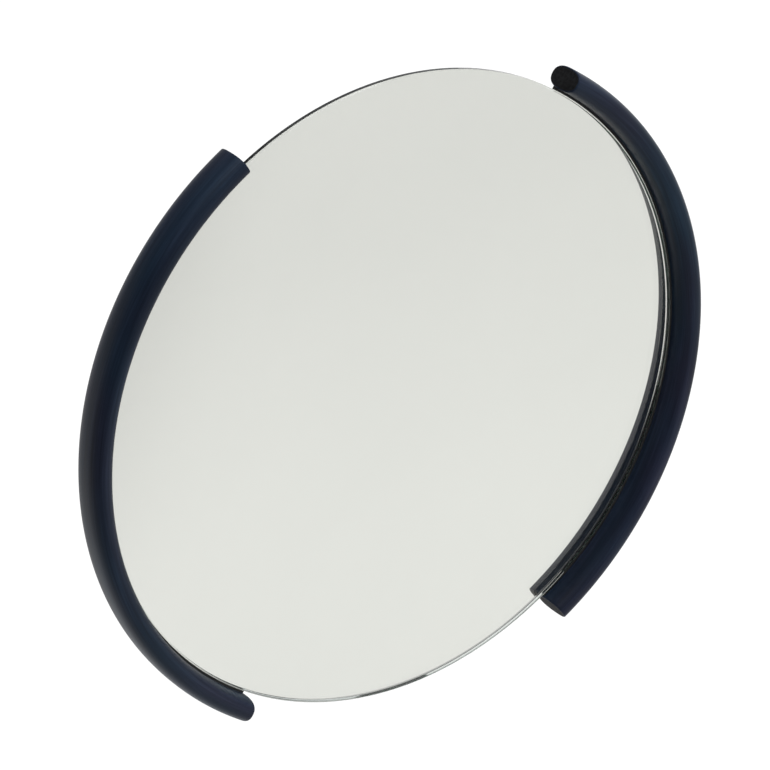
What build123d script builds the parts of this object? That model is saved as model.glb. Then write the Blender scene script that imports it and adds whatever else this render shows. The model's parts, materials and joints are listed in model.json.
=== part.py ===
from build123d import *

import os
from math import copysign, cos, pi, radians, sin, sqrt

# A round countertop mirror. Two oval wooden bars, bent to arcs, embrace the disc of glass on
# its left and right, with a rubber strip between each bar and the rim. A light steel frame is
# taped to the back of the glass and screwed into the bars, and a folding strut hinged to that
# frame holds the mirror leaning back.
#
# Every piece is drawn in the mirror's own frame, in millimetres: the origin is the centre of
# the glass's front face, +X is the viewer's right, +Y runs to the back and +Z up the glass.
# At the end the pieces are leaned back together and stood on the counter at Z = 0.

# Standing
LEAN = 10.0  # degrees that the glass leans back from plumb
CENTRE_HEIGHT = 199.5  # of the glass's front centre above the counter
STRUT_ANGLE = 16.0  # degrees between the open strut and the glass

# Glass and its backing
GLASS_RADIUS = 200.0
GLASS_THICKNESS = 4.0
GLASS_ARRIS = 0.7  # ground off both edges of the rim
COATING_THICKNESS = 0.10  # silver, copper and backing paint
COATING_MARGIN = 0.9
FILM_THICKNESS = 0.25
FILM_MARGIN = 2.0

# Bars
BAR_WIDTH = 14.3  # across the rim, on the oval's short axis
BAR_DEPTH = 25.6  # front to back, on the oval's long axis
BAR_FULLNESS = 2.5  # exponent of the oval, which would be an ellipse at 2
BAR_SECTION_POINTS = 48
BAR_RIM_GAP = 1.45  # between the glass's rim and the nearest wood
BAR_FORWARD = 2.35  # the oval's centre stands this far in front of the glass's face
BAR_HALF_ARC = 57.2  # degrees above and below the horizontal
BAR_END_ROUND = 0.8

# Rubber strips, L-shaped in section, that cushion the glass's rim in the bars
STRIP_FRONT = 0.8
STRIP_GAP = 0.02  # to the rim, and to the film behind the glass
STRIP_LIP_RADIUS = 195.0
STRIP_LIP_THICKNESS = 0.7
STRIP_REACH = 203.5  # of the strip's blank, before the bar's curve trims it
STRIP_HALF_ARC = BAR_HALF_ARC - 0.4

# Steel frame
STEEL = 2.0  # sheet thickness of the rails, the spine and the strut
TAPE_THICKNESS = 1.0
RAIL_HEIGHT = 22.0
RAIL_LEVEL = 105.0  # of the rails above and below the centre
EAR_RADIUS = 211.3  # the rails' rounded ends, from the mirror's axis
EAR_CLEARANCE = 0.15  # all round each ear in its mortise
STEEL_EDGE = 0.3  # broken off the sharp edges of the rails and the spine
SPINE_WIDTH = 46.0
SPINE_TOP = 118.0
SPINE_CORNER = 5.0
TAPE_INNER = 32.0
TAPE_OUTER = 150.0
TAPE_HEIGHT = 18.0
SPINE_PAD_WIDTH = 36.0
SPINE_PAD_LEVELS = (-176.0, -146.0)

# Countersunk wood screws, driven from the bars' backs through the rails' ears
SCREW_PITCH = 12.0
SCREW_SINK = 0.9  # of the heads below the crown of the bar's back
SCREW_RADIUS = 1.5
SCREW_HEAD_RADIUS = 3.0
SCREW_HEAD_DEPTH = 1.5
SCREW_LENGTH = 16.0
SCREW_POINT = 3.0
SCREW_RECESS = (4.0, 0.8, 1.1)  # length, width and depth of each slot of the cross
SCREW_CLEARANCE = 0.05

# Rivets
RIVET_RADIUS = 1.6
RIVET_DOME_RADIUS = 3.2
RIVET_DOME_HEIGHT = 1.4
RIVET_TAIL_RADIUS = 2.8
RIVET_TAIL_HEIGHT = 0.6
RIVET_CLEARANCE = 0.05
RIVET_OFFSET = 15.5  # each side of the middle
RIVET_PITCH = 11.0

# Hinge
LEAF_THICKNESS = 1.5
LEAF_WIDTH = 44.0
HINGE_LEVEL = 88.0
KNUCKLE_RADIUS = 3.0
KNUCKLE_GAP = 0.1  # between the turning knuckle and the spine
NOTCH_GAP = 0.6  # above the turning knuckle, in the leaf's notch
STRUT_KNUCKLE_WIDTH = 24.0
WASHER_THICKNESS = 0.6
WASHER_RADIUS = 2.9
WASHER_CLEARANCE = 0.05
PIN_RADIUS = 1.5
PIN_CLEARANCE = 0.05
PIN_HEAD_RADIUS = 2.4
PIN_HEAD_LENGTH = 1.2

# Strut
STRUT_HEEL_WIDTH = 20.0
STRUT_STOP_GAP = 0.03  # left between the heel and the leaf when the strut is open
STRUT_SHOULDER_DROP = 6.0
STRUT_TOP_WIDTH = 44.0
STRUT_FOOT_WIDTH = 78.0
STRUT_CORNER = 3.0

# Rubber feet
SOLE = 2.3  # rubber under the steel
RUBBER_EDGE = 0.6  # rounding of the moulded edges
FRONT_FOOT_WIDTH = 50.0
FRONT_FOOT_HEIGHT = 16.0
FRONT_FOOT_WALLS = (1.2, 1.6)  # before and behind the spine
FRONT_FOOT_CORNER = 5.0
STRUT_SHOE_WALL = 1.4
STRUT_SHOE_HEIGHT = 12.0
STRUT_SHOE_CORNER = 4.0

# Depths behind the glass's front face, worked out layer by layer
COATING_DEPTHS = (GLASS_THICKNESS, GLASS_THICKNESS + COATING_THICKNESS)
FILM_DEPTHS = (COATING_DEPTHS[1], COATING_DEPTHS[1] + FILM_THICKNESS)
RAIL_DEPTHS = (FILM_DEPTHS[1] + TAPE_THICKNESS, FILM_DEPTHS[1] + TAPE_THICKNESS + STEEL)
SPINE_DEPTHS = (RAIL_DEPTHS[1], RAIL_DEPTHS[1] + STEEL)
LEAF_DEPTHS = (SPINE_DEPTHS[1], SPINE_DEPTHS[1] + LEAF_THICKNESS)
HINGE_DEPTH = SPINE_DEPTHS[1] + KNUCKLE_GAP + KNUCKLE_RADIUS

BAR_RADIUS = GLASS_RADIUS + BAR_RIM_GAP + BAR_WIDTH / 2  # of the bars' centreline
BAR_CROWN = BAR_DEPTH / 2 - BAR_FORWARD  # depth of the bars' backmost line
SCREW_TOP = BAR_CROWN - SCREW_SINK
STRUT_DEPTHS = (HINGE_DEPTH + KNUCKLE_RADIUS - STEEL, HINGE_DEPTH + KNUCKLE_RADIUS)
LOWEST = (Align.CENTER, Align.CENTER, Align.MIN)


def block(x, y, z):
    """A box, given its low and high limits along each axis."""
    size = (x[1] - x[0], y[1] - y[0], z[1] - z[0])
    return Pos(x[0], y[0], z[0]) * Box(*size, align=(Align.MIN, Align.MIN, Align.MIN))


def disc(radius, depths, x=0.0, z=0.0):
    """A round plate or pin whose axis runs front to back."""
    return Pos(x, depths[0], z) * Rot(-90, 0, 0) * Cylinder(radius, depths[1] - depths[0], align=LOWEST)


def rod(radius, x, y, z):
    """A cylinder along X between two limits."""
    return Pos(x[0], y, z) * Rot(0, 90, 0) * Cylinder(radius, x[1] - x[0], align=LOWEST)


def plate(face, depths):
    """A flat outline, drawn as seen from the front, given its thickness in depth."""
    return extrude(Plane.XZ.offset(-depths[0]) * face, amount=-(depths[1] - depths[0]))


def turned(outline):
    """The solid turned about the Y axis from a closed outline of (radius, y)."""
    return revolve(make_face(outline), axis=Axis.Y)


def mirrored(shape):
    """The shape and its reflection from right to left."""
    return shape + mirror(shape, about=Plane.YZ)


def counter_height(depth):
    """Where the counter lies in the mirror's frame, at a depth behind the front face."""
    return (-CENTRE_HEIGHT + depth * sin(radians(LEAN))) / cos(radians(LEAN))


def counter():
    """The counter as a solid in the mirror's frame, to trim the feet flat."""
    half_width, half_depth, thickness = 150.0, 250.0, 60.0
    top = -CENTRE_HEIGHT
    slab = block((-half_width, half_width), (-half_depth, half_depth), (top - thickness, top))
    return Rot(LEAN, 0, 0) * slab


def opened(shape):
    """A strut piece drawn folded flat, swung out to its open stop."""
    to_axis = Pos(0, HINGE_DEPTH, HINGE_LEVEL)
    from_axis = Pos(0, -HINGE_DEPTH, -HINGE_LEVEL)
    return to_axis * Rot(STRUT_ANGLE, 0, 0) * from_axis * shape


def screw_places(side):
    """(x, z) of the four screws in one bar. side is 1 on the right and -1 on the left."""
    levels = [s * RAIL_LEVEL + t * SCREW_PITCH / 2 for s in (-1, 1) for t in (-1, 1)]
    return [(side * sqrt(BAR_RADIUS**2 - z**2), z) for z in levels]


def rivet_places(level):
    """(x, z) of four rivets about a level on the spine."""
    return [(s * RIVET_OFFSET, level + t * RIVET_PITCH / 2) for s in (-1, 1) for t in (-1, 1)]


def mirror_glass():
    glass = disc(GLASS_RADIUS, (0, GLASS_THICKNESS))
    return chamfer(glass.edges().filter_by(GeomType.CIRCLE), GLASS_ARRIS)


def silver_coating():
    return disc(GLASS_RADIUS - COATING_MARGIN, COATING_DEPTHS)


def safety_film():
    return disc(GLASS_RADIUS - FILM_MARGIN, FILM_DEPTHS)


def broad_edges(shape):
    """The edges round the faces that look to the front and to the back."""
    return shape.faces().filter_by(Axis.Y).edges()


def screw_hole():
    """The pilot hole, countersink and counterbore of one screw, about its head's top at Y = 0."""
    shank = SCREW_RADIUS + SCREW_CLEARANCE
    head = SCREW_HEAD_RADIUS + SCREW_CLEARANCE
    mouth = 2 * SCREW_SINK
    outline = Polyline(
        (0, -SCREW_LENGTH),
        (shank, -SCREW_LENGTH),
        (shank, -SCREW_HEAD_DEPTH),
        (head, 0),
        (head, mouth),
        (0, mouth),
        close=True,
    )
    return turned(outline)


def bar_section():
    """The bar's full oval about its centre, its short axis along X."""
    power = 2 / BAR_FULLNESS
    corners = []
    for i in range(BAR_SECTION_POINTS):
        across, deep = cos(2 * pi * i / BAR_SECTION_POINTS), sin(2 * pi * i / BAR_SECTION_POINTS)
        x = BAR_WIDTH / 2 * copysign(abs(across) ** power, across)
        y = BAR_DEPTH / 2 * copysign(abs(deep) ** power, deep)
        corners.append((x, y))
    return make_face(Spline(*corners, periodic=True))


def swept(section, half_arc):
    """A section in the XY plane swept about the mirror's axis, to both sides of the horizontal."""
    return Rot(0, -half_arc, 0) * revolve(section, axis=Axis.Y, revolution_arc=2 * half_arc)


def plain_bar():
    """The right bar before it is cut."""
    bent = swept(Pos(BAR_RADIUS, -BAR_FORWARD) * bar_section(), BAR_HALF_ARC)
    return fillet(bent.faces().filter_by(GeomType.PLANE).edges(), BAR_END_ROUND)


def on_side(side, shape):
    """A right-hand shape as it is for side 1, and turned over to the left for side -1."""
    return shape if side > 0 else Rot(0, 180, 0) * shape


def rim_strip(side):
    """The rubber strip round the glass's edge in one bar: a wall at the rim, a lip behind."""
    rim = GLASS_RADIUS + STRIP_GAP
    lip_front = FILM_DEPTHS[1] + STRIP_GAP
    lip_back = lip_front + STRIP_LIP_THICKNESS
    outline = Polyline(
        (rim, STRIP_FRONT),
        (STRIP_REACH, STRIP_FRONT),
        (STRIP_REACH, lip_back),
        (STRIP_LIP_RADIUS, lip_back),
        (STRIP_LIP_RADIUS, lip_front),
        (rim, lip_front),
        close=True,
    )
    return on_side(side, swept(make_face(outline), STRIP_HALF_ARC) - plain_bar())


def bar(side):
    """One bent bar, with a mortise on its inner side for each rail's ear and its screw holes."""
    bent = plain_bar()
    half = RAIL_HEIGHT / 2 + EAR_CLEARANCE
    depths = (RAIL_DEPTHS[0] - EAR_CLEARANCE, RAIL_DEPTHS[1] + EAR_CLEARANCE)
    ears = disc(EAR_RADIUS + EAR_CLEARANCE, depths)
    for level in (-RAIL_LEVEL, RAIL_LEVEL):
        across = (0, EAR_RADIUS + BAR_WIDTH)
        bent -= ears & block(across, depths, (level - half, level + half))
    hole = screw_hole()
    for x, z in screw_places(1):
        bent -= Pos(x, SCREW_TOP, z) * hole
    return on_side(side, bent)


def rail(level):
    """A strip across the back of the glass, with ears that reach into the bars' mortises."""
    half = RAIL_HEIGHT / 2
    strip = block((-EAR_RADIUS, EAR_RADIUS), RAIL_DEPTHS, (level - half, level + half))
    strip &= disc(EAR_RADIUS, RAIL_DEPTHS)
    strip = chamfer(broad_edges(strip), STEEL_EDGE)
    for x, z in screw_places(1) + screw_places(-1):
        if z * level > 0:
            strip -= disc(SCREW_RADIUS + SCREW_CLEARANCE, RAIL_DEPTHS, x, z)
    for x, z in rivet_places(level):
        strip -= disc(RIVET_RADIUS + RIVET_CLEARANCE, RAIL_DEPTHS, x, z)
    return strip


def bar_screws(side):
    """Four countersunk wood screws with cross recesses, in one bar."""
    outline = Polyline(
        (0, 0),
        (SCREW_HEAD_RADIUS, 0),
        (SCREW_RADIUS, -SCREW_HEAD_DEPTH),
        (SCREW_RADIUS, SCREW_POINT - SCREW_LENGTH),
        (0, -SCREW_LENGTH),
        close=True,
    )
    length, width, depth = SCREW_RECESS
    slot = block((-length / 2, length / 2), (-depth, depth), (-width / 2, width / 2))
    screw = turned(outline) - slot - Rot(0, 90, 0) * slot
    return [Pos(x, SCREW_TOP, z) * screw for x, z in screw_places(side)]


def rail_tape(side, level):
    """Double-sided foam tape between the film and one half of a rail."""
    ends = sorted((side * TAPE_INNER, side * TAPE_OUTER))
    half = TAPE_HEIGHT / 2
    return block(ends, (FILM_DEPTHS[1], RAIL_DEPTHS[0]), (level - half, level + half))


def back_spine():
    """The upright strip that joins the rails, carries the hinge and ends in the front foot."""
    low = counter_height(SPINE_DEPTHS[0]) + SOLE
    outline = Pos(0, (low + SPINE_TOP) / 2) * RectangleRounded(SPINE_WIDTH, SPINE_TOP - low, SPINE_CORNER)
    strip = plate(outline, SPINE_DEPTHS)
    strip = chamfer(broad_edges(strip), STEEL_EDGE)
    for x, z in rivet_places(RAIL_LEVEL) + rivet_places(-RAIL_LEVEL):
        strip -= disc(RIVET_RADIUS + RIVET_CLEARANCE, SPINE_DEPTHS, x, z)
    return strip


def spine_pad():
    """The foam pad that steadies the bottom of the glass against the spine."""
    half = SPINE_PAD_WIDTH / 2
    return block((-half, half), (FILM_DEPTHS[1], SPINE_DEPTHS[0]), SPINE_PAD_LEVELS)


def rivet(grip):
    """A rivet with a flat tail before Y = 0 and a domed head behind Y = grip."""
    reach = (RIVET_DOME_RADIUS**2 + RIVET_DOME_HEIGHT**2) / (2 * RIVET_DOME_HEIGHT)
    crown = grip + RIVET_DOME_HEIGHT
    half_way = RIVET_DOME_RADIUS / 2
    shoulder = crown - reach + sqrt(reach**2 - half_way**2)
    side = Polyline(
        (0, crown),
        (0, -RIVET_TAIL_HEIGHT),
        (RIVET_TAIL_RADIUS, -RIVET_TAIL_HEIGHT),
        (RIVET_TAIL_RADIUS, 0),
        (RIVET_RADIUS, 0),
        (RIVET_RADIUS, grip),
        (RIVET_DOME_RADIUS, grip),
    )
    dome = ThreePointArc((RIVET_DOME_RADIUS, grip), (half_way, shoulder), (0, crown))
    return turned(side + dome)


def frame_rivets(level, back):
    """The four rivets that clamp a rail to the spine, and at the top the hinge leaf with them."""
    one = rivet(back - RAIL_DEPTHS[0])
    return [Pos(x, RAIL_DEPTHS[0], z) * one for x, z in rivet_places(level)]


def hinge_leaf():
    """The fixed leaf: a plate notched for the strut's knuckle, with a rolled knuckle each side."""
    inner = STRUT_KNUCKLE_WIDTH / 2 + WASHER_THICKNESS + 2 * WASHER_CLEARANCE
    outer = LEAF_WIDTH / 2
    top = RAIL_LEVEL + RAIL_HEIGHT / 2
    leaf = block((-outer, outer), LEAF_DEPTHS, (HINGE_LEVEL, top))
    notch_top = HINGE_LEVEL + KNUCKLE_RADIUS + NOTCH_GAP
    leaf -= block((-inner, inner), LEAF_DEPTHS, (HINGE_LEVEL, notch_top))
    leaf += mirrored(rod(KNUCKLE_RADIUS, (inner, outer), HINGE_DEPTH, HINGE_LEVEL))
    leaf -= rod(PIN_RADIUS + PIN_CLEARANCE, (-outer, outer), HINGE_DEPTH, HINGE_LEVEL)
    for x, z in rivet_places(RAIL_LEVEL):
        leaf -= disc(RIVET_RADIUS + RIVET_CLEARANCE, LEAF_DEPTHS, x, z)
    return leaf


def hinge_pin():
    """The pin through all three knuckles, peened over at both ends."""
    end = LEAF_WIDTH / 2 + PIN_CLEARANCE
    pin = rod(PIN_RADIUS, (-end, end), HINGE_DEPTH, HINGE_LEVEL)
    return pin + mirrored(rod(PIN_HEAD_RADIUS, (end, end + PIN_HEAD_LENGTH), HINGE_DEPTH, HINGE_LEVEL))


def hinge_washer(side):
    """The nylon washer between the strut's knuckle and one fixed knuckle."""
    near = STRUT_KNUCKLE_WIDTH / 2 + WASHER_CLEARANCE
    ends = sorted((side * near, side * (near + WASHER_THICKNESS)))
    ring = rod(WASHER_RADIUS, ends, HINGE_DEPTH, HINGE_LEVEL)
    return ring - rod(PIN_RADIUS + PIN_CLEARANCE, ends, HINGE_DEPTH, HINGE_LEVEL)


def strut_length():
    """From the hinge's axis to the strut's steel end, just above the counter."""
    axis_height = (HINGE_LEVEL - counter_height(HINGE_DEPTH)) * cos(radians(LEAN))
    return (axis_height - SOLE) / cos(radians(STRUT_ANGLE - LEAN))


def strut_outline():
    """The flared plate below the shoulders, as seen from the front, folded flat."""
    top, foot = STRUT_TOP_WIDTH / 2, STRUT_FOOT_WIDTH / 2
    shoulder = HINGE_LEVEL - STRUT_SHOULDER_DROP
    low = HINGE_LEVEL - strut_length()
    corners = Polyline((-foot, low), (foot, low), (top, shoulder), (-top, shoulder), close=True)
    flared = make_face(corners)
    return fillet(flared.vertices(), STRUT_CORNER)


def strut_leg():
    """The strut: a flared plate, its rolled knuckle, and a heel that stops it on the leaf."""
    half_knuckle = STRUT_KNUCKLE_WIDTH / 2
    half_heel = STRUT_HEEL_WIDTH / 2
    swing = radians(STRUT_ANGLE)
    inner_face = STRUT_DEPTHS[0] - HINGE_DEPTH
    leaf_back = HINGE_DEPTH - LEAF_DEPTHS[1]
    heel = (leaf_back + inner_face * cos(swing) - STRUT_STOP_GAP) / sin(swing)
    neck_low = HINGE_LEVEL - STRUT_SHOULDER_DROP - STRUT_CORNER
    leg = plate(strut_outline(), STRUT_DEPTHS)
    leg += block((-half_knuckle, half_knuckle), STRUT_DEPTHS, (neck_low, HINGE_LEVEL))
    leg += block((-half_heel, half_heel), STRUT_DEPTHS, (HINGE_LEVEL, HINGE_LEVEL + heel))
    leg += rod(KNUCKLE_RADIUS, (-half_knuckle, half_knuckle), HINGE_DEPTH, HINGE_LEVEL)
    leg -= rod(PIN_RADIUS + PIN_CLEARANCE, (-half_knuckle, half_knuckle), HINGE_DEPTH, HINGE_LEVEL)
    return opened(leg)


def strut_shoe():
    """The rubber channel pushed onto the strut's end, its sole flat on the counter."""
    low = HINGE_LEVEL - strut_length()
    top = low + STRUT_SHOE_HEIGHT
    sole = low - 2 * SOLE
    depths = (STRUT_DEPTHS[0] - STRUT_SHOE_WALL, STRUT_DEPTHS[1] + STRUT_SHOE_WALL)
    half = STRUT_FOOT_WIDTH / 2 + STRUT_SHOE_WALL
    outline = Pos(0, (sole + top) / 2) * RectangleRounded(2 * half, top - sole, STRUT_SHOE_CORNER)
    shoe = plate(outline, depths)
    shoe = fillet(broad_edges(shoe), RUBBER_EDGE) - plate(strut_outline(), STRUT_DEPTHS)
    return opened(shoe) - counter()


def front_foot():
    """The rubber shoe on the spine's lower end, its sole flat on the counter."""
    before, behind = FRONT_FOOT_WALLS
    depths = (SPINE_DEPTHS[0] - before, SPINE_DEPTHS[1] + behind)
    low = counter_height(depths[0])
    height = FRONT_FOOT_HEIGHT
    outline = Pos(0, low + height / 2) * RectangleRounded(FRONT_FOOT_WIDTH, height, FRONT_FOOT_CORNER)
    shoe = plate(outline, depths)
    return fillet(broad_edges(shoe), RUBBER_EDGE) - back_spine() - counter()


PIECES = {
    "mirror_glass": mirror_glass(),
    "silver_coating": silver_coating(),
    "safety_film": safety_film(),
    "left_bar": bar(-1),
    "right_bar": bar(1),
    "left_rim_strip": rim_strip(-1),
    "right_rim_strip": rim_strip(1),
    "upper_rail": rail(RAIL_LEVEL),
    "lower_rail": rail(-RAIL_LEVEL),
    "back_spine": back_spine(),
    "upper_left_tape": rail_tape(-1, RAIL_LEVEL),
    "upper_right_tape": rail_tape(1, RAIL_LEVEL),
    "lower_left_tape": rail_tape(-1, -RAIL_LEVEL),
    "lower_right_tape": rail_tape(1, -RAIL_LEVEL),
    "spine_pad": spine_pad(),
    "left_bar_screws": bar_screws(-1),
    "right_bar_screws": bar_screws(1),
    "upper_rivets": frame_rivets(RAIL_LEVEL, LEAF_DEPTHS[1]),
    "lower_rivets": frame_rivets(-RAIL_LEVEL, SPINE_DEPTHS[1]),
    "hinge_leaf": hinge_leaf(),
    "hinge_pin": hinge_pin(),
    "left_hinge_washer": hinge_washer(-1),
    "right_hinge_washer": hinge_washer(1),
    "strut_leg": strut_leg(),
    "strut_shoe": strut_shoe(),
    "front_foot": front_foot(),
}


def as_one(piece):
    """A group of separate solids as one shape, and a single solid as it is."""
    return Compound(children=piece) if isinstance(piece, list) else piece


def standing_place(pieces):
    """Where the mirror's frame goes: leaned back, on Z = 0, with its box centred on the origin."""
    leaned = Pos(0, 0, CENTRE_HEIGHT) * Rot(-LEAN, 0, 0)
    boxes = [(leaned * piece).bounding_box() for piece in pieces.values()]
    middle = (min(b.min.Y for b in boxes) + max(b.max.Y for b in boxes)) / 2
    return Pos(0, -middle, 0) * leaned


def main():
    os.makedirs("parts", exist_ok=True)
    pieces = {name: as_one(piece) for name, piece in PIECES.items()}
    stand = standing_place(pieces)
    for name, piece in pieces.items():
        export_step(stand * piece, f"parts/{name}.step")
    print("hinge axis at", (stand * Pos(0, HINGE_DEPTH, HINGE_LEVEL)).position)
    print("glass's front centre at", stand.position)


main()
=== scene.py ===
import json
from math import copysign, cos, pi, radians, sin

import bmesh
import bpy
from mathutils import Matrix, Vector


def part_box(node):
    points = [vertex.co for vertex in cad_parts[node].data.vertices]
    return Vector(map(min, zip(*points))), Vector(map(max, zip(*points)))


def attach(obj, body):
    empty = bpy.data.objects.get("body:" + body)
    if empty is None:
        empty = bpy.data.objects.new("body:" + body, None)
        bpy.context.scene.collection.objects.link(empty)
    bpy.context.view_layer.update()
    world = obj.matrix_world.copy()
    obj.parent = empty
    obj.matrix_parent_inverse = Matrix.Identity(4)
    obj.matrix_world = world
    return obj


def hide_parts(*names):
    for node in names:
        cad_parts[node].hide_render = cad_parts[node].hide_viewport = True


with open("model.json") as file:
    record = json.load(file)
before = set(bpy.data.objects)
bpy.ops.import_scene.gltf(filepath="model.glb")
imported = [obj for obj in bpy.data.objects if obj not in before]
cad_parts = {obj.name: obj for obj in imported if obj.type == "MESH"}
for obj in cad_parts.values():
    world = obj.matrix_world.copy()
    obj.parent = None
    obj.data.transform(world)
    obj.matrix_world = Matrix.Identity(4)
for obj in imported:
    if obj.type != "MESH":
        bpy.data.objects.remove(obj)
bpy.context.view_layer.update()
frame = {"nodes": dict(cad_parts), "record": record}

MM = 0.001

# The mirror's own frame: origin at the centre of the glass's front face, +X right, +Y back and
# +Z up the glass
LEAN = radians(10)
GLASS_LOW, GLASS_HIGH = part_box("mirror_glass")
GLASS_RADIUS = (GLASS_HIGH.x - GLASS_LOW.x) / 2
GLASS_THICKNESS = 4.0 * MM
GLASS_ARRIS = 0.7 * MM
ARRIS_ROUGHNESS = (0.16, 0.40)  # front, back
ARRIS_PAINTED_SHADE = (0.44, 0.45, 0.42)  # painted shade: the back arris darkens what it lets through, standing in for dim surroundings behind
ARRIS_INSET = 0.005 * MM  # keeps the arris's finish off the faces beside it
SILVER_MARGIN = 0.9 * MM
COATING_GAP = 0.02 * MM
COATING_THICKNESS = 0.08 * MM
GLASS_SEGMENTS, COATING_SEGMENTS = 720, 360
BACKWARD = Vector((0, cos(LEAN), -sin(LEAN)))
FRONT_CENTRE = (GLASS_LOW + GLASS_HIGH) / 2 - BACKWARD * GLASS_THICKNESS / 2
MIRROR = Matrix.Translation(FRONT_CENTRE) @ Matrix.Rotation(-LEAN, 4, "X")

# Bars
BAR_WIDTH = 14.3 * MM
BAR_DEPTH = 25.6 * MM
BAR_FULLNESS = 2.5
BAR_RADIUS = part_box("right_bar")[1].x - BAR_WIDTH / 2
BAR_FORWARD = 2.35 * MM
BAR_HALF_ARC = radians(57.2)
BAR_END_ROUND = 0.8 * MM
BAR_STEPS, BAR_END_STEPS, BAR_SECTION_POINTS = 220, 6, 96
SHARP_ANGLE = radians(35)
GRAIN_START = 1.0  # metres along the grain to each bar, so that the two differ

# Mortises in the bars for the rails' ears, and the holes of the screws through them
EAR_RADIUS = 211.45 * MM
MORTISE_DEPTHS = (5.2 * MM, 7.5 * MM)
MORTISE_HEIGHT = 22.3 * MM
MORTISE_INNER = 150.0 * MM  # where the cutter starts, clear of the bar's inner wall
MORTISE_END_STEPS = 12
RAIL_LEVEL = 105.0 * MM
SCREW_PITCH = 12.0 * MM
SCREW_TOP = 9.55 * MM
SCREW_HEAD_DEPTH = 1.5 * MM
SCREW_LENGTH = 16.0 * MM
SCREW_HOLE_RADIUS = 1.55 * MM
SCREW_HEAD_HOLE_RADIUS = 3.05 * MM
SCREW_HOLE_SEGMENTS = 32

# Rubber strips in the bars, round the glass's rim and over the edge of its back: the corners of
# the section as (radius, depth)
STRIP_SECTION = [
    (200.02 * MM, 0.8 * MM),
    (201.85 * MM, 0.8 * MM),
    (202.45 * MM, 5.1 * MM),
    (195.0 * MM, 5.1 * MM),
    (195.0 * MM, 4.4 * MM),
    (200.02 * MM, 4.4 * MM),
]
STRIP_HALF_ARC = radians(56.8)
STRIP_STEPS = 228

# Camera, about the mirror's own axes
CAMERA_AZIMUTH = radians(-34.0)
CAMERA_ELEVATION = radians(25.75)
CAMERA_ROLL = radians(0.38)
CAMERA_DISTANCE = 12.41 * GLASS_RADIUS
CAMERA_ASIDE = 0.0438 * GLASS_RADIUS
CAMERA_BELOW = 0.0251 * GLASS_RADIUS
CAMERA_LENS = 197.1  # millimetres
SENSOR_WIDTH = 36.0  # millimetres

# Stage: the floor's glow fades a little ahead of the object and much more to its front left, and
# the sky is dim on the left. Distances in metres.
FLOOR_SIZE = 30.0
FLOOR_GLOW = 1.02
FADE_AHEAD = {"direction": (0, -1, 0), "start": 0.10, "end": 1.10, "left": 0.90}
FADE_LEFT = {"direction": (-0.8, -0.6, 0), "start": 0.18, "end": 0.55, "left": 0.26}
LIGHTS = [
    {"name": "softbox", "place": (0.45, -1.58, 1.45), "size": 2.3, "radiance": 0.44},
    {"name": "overhead", "place": (-0.15, -0.05, 2.40), "size": 2.0, "radiance": 3.0},
]
WORLD_LEFT, WORLD_RIGHT = 0.03, 0.60
WORLD_BLEND = (-0.35, 0.15)


# ---------------------------------------------------------------- node helpers

def new_material(name, **inputs):
    """A node material with one Principled shader, and its tree and shader."""
    material = bpy.data.materials.new(name)
    material.use_nodes = True
    tree = material.node_tree
    shader = tree.nodes["Principled BSDF"]
    for key, value in inputs.items():
        shader.inputs[key.replace("_", " ")].default_value = value
    return material, tree, shader


def node(tree, kind, inputs=(), **settings):
    """Adds a node; each of inputs is (socket name or number, value or another node's output)."""
    made = tree.nodes.new("ShaderNode" + kind)
    for key, value in settings.items():
        setattr(made, key, value)
    for socket, value in inputs:
        if isinstance(value, bpy.types.NodeSocket):
            tree.links.new(value, made.inputs[socket])
        else:
            made.inputs[socket].default_value = value
    return made


def maths(tree, operation, *values):
    return node(tree, "Math", list(enumerate(values)), operation=operation).outputs[0]


def rest_place(tree):
    """Each point's place in the row's frame at rest, in metres."""
    return node(tree, "TexCoord").outputs["Object"]


def ramp(tree, factor, stops):
    """A colour ramp of (position, colour) stops."""
    made = node(tree, "ValToRGB", [("Fac", factor)])
    elements = made.color_ramp.elements
    while len(elements) < len(stops):
        elements.new(0.5)
    for element, (position, colour) in zip(elements, stops):
        element.position = position
        element.color = (*colour, 1)
    return made.outputs["Color"]


def spread(tree, factor, low, high):
    """Maps 0 to 1 onto low to high."""
    inputs = [("Value", factor), ("To Min", low), ("To Max", high)]
    return node(tree, "MapRange", inputs).outputs[0]


def noise(tree, vector, scale, detail=3.0, roughness=0.5):
    inputs = [("Vector", vector), ("Scale", scale), ("Detail", detail), ("Roughness", roughness)]
    return node(tree, "TexNoise", inputs).outputs["Fac"]


def bump(tree, shader, height, strength, distance):
    made = node(tree, "Bump", [("Height", height), ("Strength", strength), ("Distance", distance)])
    tree.links.new(made.outputs["Normal"], shader.inputs["Normal"])


# ------------------------------------------------------------------- materials

def along_bar(tree):
    """Grain coordinates in metres: along the bar's arc, out from the mirror's axis, in depth."""
    own = node(tree, "Mapping", [
        ("Vector", rest_place(tree)),
        ("Location", FRONT_CENTRE),
        ("Rotation", (-LEAN, 0, 0)),
    ], vector_type="TEXTURE")
    parts = node(tree, "SeparateXYZ", [(0, own.outputs[0])])
    x, y, z = parts.outputs
    angle = maths(tree, "ARCTAN2", z, maths(tree, "ABSOLUTE", x))
    side = maths(tree, "SIGN", x)
    arc = maths(tree, "MULTIPLY", angle, BAR_RADIUS)
    length = maths(tree, "MULTIPLY", side, maths(tree, "SUBTRACT", GRAIN_START, arc))
    squares = [maths(tree, "POWER", part, 2.0) for part in (x, z)]
    radius = maths(tree, "SQRT", maths(tree, "ADD", *squares))
    return length, radius, y


def stretched(tree, length, radius, depth, along, across):
    """A texture vector, scaled by along in the bar's length and by across in its section."""
    return node(tree, "CombineXYZ", [
        (0, maths(tree, "MULTIPLY", length, along)),
        (1, maths(tree, "MULTIPLY", radius, across)),
        (2, maths(tree, "MULTIPLY", depth, across)),
    ]).outputs[0]


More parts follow.
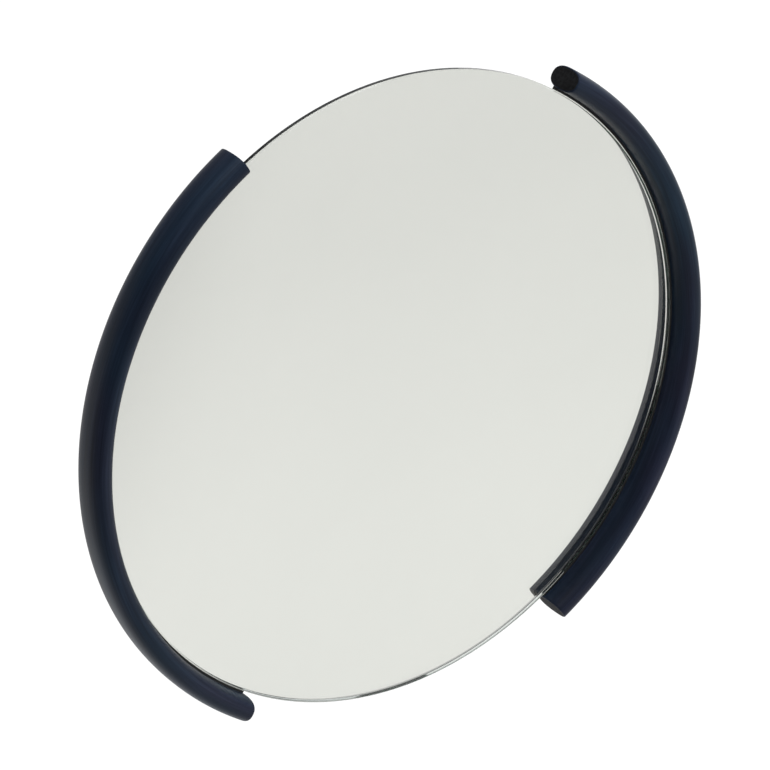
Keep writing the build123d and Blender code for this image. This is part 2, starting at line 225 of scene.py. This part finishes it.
def stained_wood():
    """Blue-black stain on fine straight grain, under a thin matt lacquer."""
    material, tree, shader = new_material("stained_wood", Roughness=0.45)
    length, radius, depth = along_bar(tree)
    fibres = noise(tree, stretched(tree, length, radius, depth, 30, 1800), 1.0, 4.0, 0.6)
    bands = noise(tree, stretched(tree, length, radius, depth, 6, 260), 1.0, 3.0, 0.55)
    clouds = noise(tree, stretched(tree, length, radius, depth, 14, 60), 1.0, 2.0)
    mixed = maths(tree, "MULTIPLY", fibres, 0.35)
    mixed = maths(tree, "ADD", mixed, maths(tree, "MULTIPLY", bands, 0.4))
    mixed = maths(tree, "ADD", mixed, maths(tree, "MULTIPLY", clouds, 0.25))
    colour = ramp(tree, mixed, [
        (0.30, (0.0054, 0.0082, 0.0154)),
        (0.50, (0.0128, 0.0200, 0.0362)),
        (0.72, (0.0280, 0.0424, 0.0720)),
    ])
    patches = noise(tree, stretched(tree, length, radius, depth, 11, 40), 1.0, 1.0)
    tint = ramp(tree, patches, [(0.36, (1.20, 0.92, 1.00)), (0.64, (0.74, 1.04, 1.06))])
    layers = [("Fac", 1.0), ("Color1", colour), ("Color2", tint)]
    tinted = node(tree, "MixRGB", layers, blend_type="MULTIPLY")
    tree.links.new(tinted.outputs[0], shader.inputs["Base Color"])
    tree.links.new(spread(tree, fibres, 0.36, 0.54), shader.inputs["Roughness"])
    facing = node(tree, "LayerWeight", [("Blend", 0.5)]).outputs["Facing"]
    gloss = spread(tree, maths(tree, "POWER", facing, 2.0), 0.10, 0.28)
    tree.links.new(gloss, shader.inputs["Specular IOR Level"])
    bump(tree, shader, fibres, 0.25, 0.05 * MM)
    return material


def end_grain():
    """The same stain soaked deep into the cut ends, with fine pores."""
    material, tree, shader = new_material("end_grain", Roughness=0.7)
    length, radius, depth = along_bar(tree)
    rings = noise(tree, stretched(tree, length, radius, depth, 0, 420), 1.0, 3.0)
    pores = node(tree, "TexVoronoi", [
        ("Vector", stretched(tree, length, radius, depth, 0, 3200)), ("Scale", 1.0),
    ]).outputs["Distance"]
    colour = ramp(tree, rings, [
        (0.35, (0.0045, 0.0045, 0.0052)),
        (0.65, (0.0140, 0.0140, 0.0155)),
    ])
    tree.links.new(colour, shader.inputs["Base Color"])
    shader.inputs["Specular IOR Level"].default_value = 0.12
    bump(tree, shader, pores, 0.3, 0.08 * MM)
    return material


def clear_glass():
    """Float glass, faintly green, with a satin front arris and a ground back one whose colour is
    darkened as painted shade.
    """
    material, tree, shader = new_material("clear_glass", Roughness=0.0, IOR=1.52)
    shader.inputs["Transmission Weight"].default_value = 1.0
    tint = node(tree, "VolumeAbsorption", [("Color", (0.62, 0.90, 0.80, 1)), ("Density", 36.0)])
    output = tree.nodes["Material Output"]
    tree.links.new(tint.outputs[0], output.inputs["Volume"])
    smears = noise(tree, rest_place(tree), 25.0, 2.0)
    _, radius, depth = along_bar(tree)
    inner = maths(tree, "GREATER_THAN", radius, GLASS_RADIUS - GLASS_ARRIS + ARRIS_INSET)
    outer = maths(tree, "LESS_THAN", radius, GLASS_RADIUS - ARRIS_INSET)
    on_arris = maths(tree, "MULTIPLY", inner, outer)
    behind = maths(tree, "GREATER_THAN", depth, GLASS_THICKNESS / 2)
    matt = maths(tree, "MULTIPLY", on_arris, spread(tree, behind, *ARRIS_ROUGHNESS))
    roughness = maths(tree, "ADD", spread(tree, smears, 0.0, 0.004), matt)
    tree.links.new(roughness, shader.inputs["Roughness"])
    # Painted shade: the ground back arris is darkened to stand in for the dim surroundings seen
    # through it.
    painted_shade_on_arris = maths(tree, "MULTIPLY", on_arris, behind)
    colour = ramp(tree, painted_shade_on_arris, [(0.0, (1, 1, 1)), (1.0, ARRIS_PAINTED_SHADE)])
    tree.links.new(colour, shader.inputs["Base Color"])
    return material


def silver():
    """The silvered back of the glass, seen through it."""
    material, tree, shader = new_material("silver", Metallic=0.988, Roughness=0.012)
    clouds = noise(tree, rest_place(tree), 9.0, 2.0)
    colour = ramp(tree, clouds, [(0.3, (0.784, 0.726, 0.705)), (0.7, (0.798, 0.738, 0.717))])
    tree.links.new(colour, shader.inputs["Base Color"])
    return material


def backing_paint():
    """The grey paint that seals the silver, seen past the film's edge."""
    material, tree, shader = new_material("backing_paint", Roughness=0.5)
    flecks = noise(tree, rest_place(tree), 900.0, 2.0)
    colour = ramp(tree, flecks, [(0.3, (0.10, 0.11, 0.115)), (0.7, (0.14, 0.15, 0.155))])
    tree.links.new(colour, shader.inputs["Base Color"])
    return material


def woven_film():
    """Matt grey safety film with the fine cross weave of its scrim showing through."""
    material, tree, shader = new_material("woven_film", Roughness=0.55)
    place = rest_place(tree)
    threads = []
    for direction in ("X", "Z"):
        inputs = [("Vector", place), ("Scale", 160.0), ("Distortion", 0.4)]
        wave = node(tree, "TexWave", inputs, bands_direction=direction)
        threads.append(wave.outputs["Fac"])
    weave = maths(tree, "MAXIMUM", *threads)
    clouds = noise(tree, place, 14.0, 3.0)
    tone = maths(tree, "MULTIPLY", weave, 0.35)
    tone = maths(tree, "ADD", tone, maths(tree, "MULTIPLY", clouds, 0.65))
    colour = ramp(tree, tone, [(0.25, (0.095, 0.105, 0.115)), (0.8, (0.165, 0.175, 0.185))])
    tree.links.new(colour, shader.inputs["Base Color"])
    bump(tree, shader, weave, 0.35, 0.12 * MM)
    return material


def powder_coat():
    """Black powder coat with a fine orange-peel texture, a little polished where it is rubbed."""
    material, tree, shader = new_material("powder_coat", Roughness=0.5)
    peel = noise(tree, rest_place(tree), 2200.0, 2.0)
    wear = noise(tree, rest_place(tree), 40.0, 4.0)
    colour = ramp(tree, wear, [(0.3, (0.012, 0.012, 0.013)), (0.75, (0.024, 0.024, 0.025))])
    tree.links.new(colour, shader.inputs["Base Color"])
    tree.links.new(spread(tree, wear, 0.38, 0.56), shader.inputs["Roughness"])
    bump(tree, shader, peel, 0.45, 0.06 * MM)
    return material


def zinc():
    """Bright zinc plate with a faintly brushed, uneven gloss."""
    material, tree, shader = new_material("zinc", Metallic=1.0)
    brushed = noise(tree, rest_place(tree), 1500.0, 3.0)
    colour = ramp(tree, brushed, [(0.3, (0.46, 0.47, 0.48)), (0.7, (0.66, 0.67, 0.69))])
    tree.links.new(colour, shader.inputs["Base Color"])
    tree.links.new(spread(tree, brushed, 0.22, 0.42), shader.inputs["Roughness"])
    return material


def foam():
    """Closed-cell black foam, its cut edges open-pored."""
    material, tree, shader = new_material("foam", Roughness=0.9)
    inputs = [("Vector", rest_place(tree)), ("Scale", 2600.0)]
    cells = node(tree, "TexVoronoi", inputs).outputs["Distance"]
    colour = ramp(tree, cells, [(0.1, (0.008, 0.008, 0.009)), (0.7, (0.028, 0.028, 0.029))])
    tree.links.new(colour, shader.inputs["Base Color"])
    bump(tree, shader, cells, 0.5, 0.15 * MM)
    return material


def rubber():
    """Matt moulded rubber with a light bloom."""
    material, tree, shader = new_material("rubber", Roughness=0.75)
    grain = noise(tree, rest_place(tree), 1800.0, 3.0)
    bloom = noise(tree, rest_place(tree), 90.0, 3.0)
    colour = ramp(tree, bloom, [(0.3, (0.012, 0.012, 0.012)), (0.75, (0.030, 0.029, 0.028))])
    tree.links.new(colour, shader.inputs["Base Color"])
    bump(tree, shader, grain, 0.12, 0.08 * MM)
    return material


def nylon():
    """Natural nylon, slightly translucent."""
    material, tree, shader = new_material("nylon", Roughness=0.4)
    clouds = noise(tree, rest_place(tree), 500.0, 2.0)
    colour = ramp(tree, clouds, [(0.3, (0.62, 0.60, 0.54)), (0.7, (0.72, 0.70, 0.64))])
    tree.links.new(colour, shader.inputs["Base Color"])
    shader.inputs["Subsurface Weight"].default_value = 0.2
    return material


# ---------------------------------------------------------------------- meshes

def finish_mesh(name, made, materials):
    """Turns a bmesh drawn in the mirror's own frame into an object standing in the row's frame."""
    bmesh.ops.recalc_face_normals(made, faces=made.faces)
    made.transform(MIRROR)
    mesh = bpy.data.meshes.new(name)
    made.to_mesh(mesh)
    made.free()
    for material in materials:
        mesh.materials.append(material)
    piece = bpy.data.objects.new(name, mesh)
    bpy.context.scene.collection.objects.link(piece)
    return piece


def bridge(made, ring, following, smooth=True):
    """Quads between two closed rings of the same length."""
    for i, corner in enumerate(ring):
        j = (i + 1) % len(ring)
        face = made.faces.new((corner, ring[j], following[j], following[i]))
        face.smooth = smooth


def turned_disc(name, profile, segments, materials, slots, centre=(0, 0)):
    """A piece turned about an axis from front to back, from (radius, depth) rings, with flat ends.

    slots gives the material of the first end, of each band between rings, and of the last end.
    """
    made = bmesh.new()
    turns = [2 * pi * i / segments for i in range(segments)]
    x, z = centre
    rings = []
    for radius, depth in profile:
        places = [(x + radius * cos(a), depth, z + radius * sin(a)) for a in turns]
        rings.append([made.verts.new(place) for place in places])
    caps = [made.faces.new(rings[0]), made.faces.new(rings[-1])]
    caps[0].material_index, caps[1].material_index = slots[0], slots[-1]
    for k, (ring, following) in enumerate(zip(rings, rings[1:])):
        first = len(made.faces)
        flat = profile[k][1] == profile[k + 1][1]
        bridge(made, ring, following, smooth=not flat)
        made.faces.ensure_lookup_table()
        for face in made.faces[first:]:
            face.material_index = slots[k + 1]
    for ring in rings:
        for i, corner in enumerate(ring):
            made.edges.get((corner, ring[(i + 1) % segments])).smooth = False
    return finish_mesh(name, made, materials)


def signed_power(value, power):
    return copysign(abs(value) ** power, value)


def oval(inset, points):
    """The bar's section as (outward, in depth), drawn in by an inset along its normal."""
    wide, deep = BAR_WIDTH / 2, BAR_DEPTH / 2
    power = 2 / BAR_FULLNESS
    section = []
    for i in range(points):
        c, s = cos(2 * pi * i / points), sin(2 * pi * i / points)
        place = Vector((wide * signed_power(c, power), deep * signed_power(s, power)))
        steepness = Vector((signed_power(c, 2 - power) / wide, signed_power(s, 2 - power) / deep))
        section.append(place - inset * steepness.normalized())
    return section


def bar_stations(steps, rounding):
    """(angle, inset) of each section along a bar, with a quarter-round softening at both ends."""
    ends = []
    for i in range(rounding + 1):
        turn = pi / 2 * i / rounding
        back_from_end = BAR_END_ROUND * (1 - sin(turn)) / BAR_RADIUS
        ends.append((BAR_HALF_ARC - back_from_end, BAR_END_ROUND * (1 - cos(turn))))
    straight = BAR_HALF_ARC - BAR_END_ROUND / BAR_RADIUS
    middle = [(straight * (2 * i / steps - 1), 0.0) for i in range(1, steps)]
    start = [(-angle, inset) for angle, inset in reversed(ends)]
    return start + middle + ends


def bar_mesh(name, side, materials):
    """An oval bar swept round an arc on one side of the glass."""
    made = bmesh.new()
    rings = []
    for angle, inset in bar_stations(BAR_STEPS, BAR_END_STEPS):
        ring = []
        for out, deep in oval(inset, BAR_SECTION_POINTS):
            radius = BAR_RADIUS + out
            place = (side * radius * cos(angle), deep - BAR_FORWARD, radius * sin(angle))
            ring.append(made.verts.new(place))
        rings.append(ring)
    for ring, following in zip(rings, rings[1:]):
        bridge(made, ring, following)
    for ring in (rings[0], rings[-1]):
        cap = made.faces.new(ring)
        cap.material_index = 1
        for edge in cap.edges:
            edge.smooth = False
    return finish_mesh(name, made, materials)


def mortise_cutter(side, level):
    """The space that a rail's ear takes out of a bar's inner side."""
    made = bmesh.new()
    half = MORTISE_HEIGHT / 2
    outline = [(MORTISE_INNER, level - half), (MORTISE_INNER, level + half)]
    for i in range(MORTISE_END_STEPS + 1):
        z = level + half - MORTISE_HEIGHT * i / MORTISE_END_STEPS
        outline.append(((EAR_RADIUS**2 - z**2) ** 0.5, z))
    near, far = [[made.verts.new((side * x, y, z)) for x, z in outline] for y in MORTISE_DEPTHS]
    made.faces.new(near)
    made.faces.new(far)
    bridge(made, near, far, smooth=False)
    return finish_mesh("cutter", made, [])


def screw_cutter(side, level):
    """A screw's pilot hole, countersink and counterbore, from the bar's back."""
    profile = [
        (SCREW_HOLE_RADIUS, SCREW_TOP - SCREW_LENGTH),
        (SCREW_HOLE_RADIUS, SCREW_TOP - SCREW_HEAD_DEPTH),
        (SCREW_HEAD_HOLE_RADIUS, SCREW_TOP),
        (SCREW_HEAD_HOLE_RADIUS, BAR_DEPTH),
    ]
    across = side * (BAR_RADIUS**2 - level**2) ** 0.5
    slots = [0] * (len(profile) + 1)
    return turned_disc("cutter", profile, SCREW_HOLE_SEGMENTS, [], slots, (across, level))


def cut(piece, cutters):
    """Takes the cutters out of the piece for good."""
    for cutter in cutters:
        taken = piece.modifiers.new("recess", "BOOLEAN")
        taken.operation, taken.solver, taken.object = "DIFFERENCE", "EXACT", cutter
    bpy.context.view_layer.update()
    evaluated = piece.evaluated_get(bpy.context.evaluated_depsgraph_get())
    mesh = bpy.data.meshes.new_from_object(evaluated)
    piece.modifiers.clear()
    piece.data = mesh
    for cutter in cutters:
        bpy.data.objects.remove(cutter)


# ---------------------------------------------------------------------- pieces

def make_glass(materials):
    arris, margin = GLASS_ARRIS, SILVER_MARGIN
    radius, back = GLASS_RADIUS, GLASS_THICKNESS
    profile = [
        (radius - arris, 0),
        (radius, arris),
        (radius, back - arris),
        (radius - arris, back),
        (radius - margin, back),
    ]
    finishes = [materials["clear_glass"], materials["silver"]]
    glass = turned_disc("mirror_disc", profile, GLASS_SEGMENTS, finishes, [0, 0, 0, 0, 0, 1])
    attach(glass, "mirror")
    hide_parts("mirror_glass")


def make_coating(materials):
    radius, front = GLASS_RADIUS - SILVER_MARGIN, GLASS_THICKNESS + COATING_GAP
    profile = [(radius, front), (radius, front + COATING_THICKNESS)]
    finishes = [materials["backing_paint"]]
    coating = turned_disc("backing_coat", profile, COATING_SEGMENTS, finishes, [0, 0, 0])
    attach(coating, "mirror")
    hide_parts("silver_coating")


def make_bar(word, side, materials):
    bar = bar_mesh(f"{word}_oval_bar", side, [materials["stained_wood"], materials["end_grain"]])
    cutters = []
    for level in (-RAIL_LEVEL, RAIL_LEVEL):
        cutters.append(mortise_cutter(side, level))
        cutters += [screw_cutter(side, level + s * SCREW_PITCH / 2) for s in (-1, 1)]
    cut(bar, cutters)
    bar.data.set_sharp_from_angle(angle=SHARP_ANGLE)
    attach(bar, "mirror")
    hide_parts(f"{word}_bar")


def make_rim_strip(word, side, materials):
    """A rubber strip of L section, swept round an arc on one side of the glass."""
    made = bmesh.new()
    rings = []
    for i in range(STRIP_STEPS + 1):
        angle = STRIP_HALF_ARC * (2 * i / STRIP_STEPS - 1)
        rings.append([
            made.verts.new((side * radius * cos(angle), depth, radius * sin(angle)))
            for radius, depth in STRIP_SECTION
        ])
    for ring, following in zip(rings, rings[1:]):
        bridge(made, ring, following, smooth=False)
    made.faces.new(rings[0])
    made.faces.new(rings[-1])
    strip = finish_mesh(f"{word}_edge_strip", made, [materials["rubber"]])
    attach(strip, "mirror")
    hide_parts(f"{word}_rim_strip")


def dress_cad_nodes(materials):
    """Every CAD node that stays in sight gets the material of its slot."""
    finishes = {
        "backing_film": "woven_film",
        "black_steel": "powder_coat",
        "zinc_steel": "zinc",
        "foam_tape": "foam",
        "nylon": "nylon",
        "black_rubber": "rubber",
    }
    for part in frame["record"]["subparts"]:
        finish = finishes.get(part["material_slot"])
        if finish:
            mesh = frame["nodes"][part["node"]].data
            mesh.materials.clear()
            mesh.materials.append(materials[finish])


# ----------------------------------------------------------------------- stage

def fade(tree, direction, start, end, left):
    """Falls smoothly from 1 to what is left, between two distances along a direction."""
    inputs = [(0, rest_place(tree)), (1, direction)]
    ahead = node(tree, "VectorMath", inputs, operation="DOT_PRODUCT")
    return node(tree, "MapRange", [
        ("Value", ahead.outputs["Value"]),
        ("From Min", start),
        ("From Max", end),
        ("To Min", 1.0),
        ("To Max", left),
    ], interpolation_type="SMOOTHSTEP").outputs[0]


def make_floor():
    """White paper that glows as painted light, reading white and lighting the object from below,
    and whose glow fades as painted shade in front of the object.
    """
    size = FLOOR_SIZE
    mesh = bpy.data.meshes.new("floor")
    corners = [(-size, -size, 0), (size, -size, 0), (size, size, 0), (-size, size, 0)]
    mesh.from_pydata(corners, [], [(0, 1, 2, 3)])
    floor = bpy.data.objects.new("floor", mesh)
    bpy.context.scene.collection.objects.link(floor)
    material, tree, shader = new_material("paper", Roughness=0.9)
    shader.inputs["Base Color"].default_value = (0.05, 0.05, 0.05, 1)
    shader.inputs["Emission Color"].default_value = (1, 1, 1, 1)
    # Painted light: the floor glows like a lamp; the two fades are painted shade, dimmer ahead of
    # the object and to its front left.
    faded = maths(tree, "MULTIPLY", fade(tree, **FADE_AHEAD), fade(tree, **FADE_LEFT))
    tree.links.new(maths(tree, "MULTIPLY", faded, FLOOR_GLOW), shader.inputs["Emission Strength"])
    mesh.materials.append(material)


def make_light(name, place, size, radiance):
    """A square soft light that faces the middle of the glass."""
    light = bpy.data.lights.new(name, "AREA")
    light.shape, light.size, light.energy = "SQUARE", size, radiance * pi * size**2
    lamp = bpy.data.objects.new(name, light)
    lamp.location = place
    lamp.rotation_mode = "QUATERNION"
    lamp.rotation_quaternion = (FRONT_CENTRE - Vector(place)).to_track_quat("-Z", "Y")
    bpy.context.scene.collection.objects.link(lamp)


def make_world():
    world = bpy.data.worlds.new("studio")
    world.use_nodes = True
    tree = world.node_tree
    sky = tree.nodes["Background"]
    sky.inputs["Color"].default_value = (0.96, 0.98, 1.0, 1)
    toward = node(tree, "SeparateXYZ", [(0, node(tree, "TexCoord").outputs["Generated"])])
    blend = node(tree, "MapRange", [
        ("Value", toward.outputs["X"]),
        ("From Min", WORLD_BLEND[0]),
        ("From Max", WORLD_BLEND[1]),
        ("To Min", WORLD_LEFT),
        ("To Max", WORLD_RIGHT),
    ], interpolation_type="SMOOTHSTEP")
    tree.links.new(blend.outputs[0], sky.inputs["Strength"])
    bpy.context.scene.world = world


def make_camera():
    """The camera is placed about the mirror's own axes, and so leans back with them."""
    lens = bpy.data.cameras.new("camera")
    lens.lens, lens.sensor_width = CAMERA_LENS, SENSOR_WIDTH
    lens.clip_start, lens.clip_end = 0.05, 100.0
    camera = bpy.data.objects.new("camera", lens)
    turn = Matrix.Rotation(CAMERA_AZIMUTH, 4, "Z")
    tilt = Matrix.Rotation(pi / 2 - CAMERA_ELEVATION, 4, "X")
    roll = Matrix.Rotation(CAMERA_ROLL, 4, "Z")
    step_back = Matrix.Translation((-CAMERA_ASIDE, CAMERA_BELOW, CAMERA_DISTANCE))
    camera.matrix_world = MIRROR @ turn @ tilt @ roll @ step_back
    bpy.context.scene.collection.objects.link(camera)
    bpy.context.scene.camera = camera


def main():
    makers = (stained_wood, end_grain, clear_glass, silver, backing_paint, woven_film,
              powder_coat, zinc, foam, rubber, nylon)
    materials = {maker.__name__: maker() for maker in makers}
    make_camera()
    make_glass(materials)
    make_coating(materials)
    dress_cad_nodes(materials)
    for word, side in (("left", -1), ("right", 1)):
        make_bar(word, side, materials)
        make_rim_strip(word, side, materials)
    make_floor()
    make_world()
    for light in LIGHTS:
        make_light(**light)
    bpy.context.scene.view_settings.view_transform = "Standard"


main()
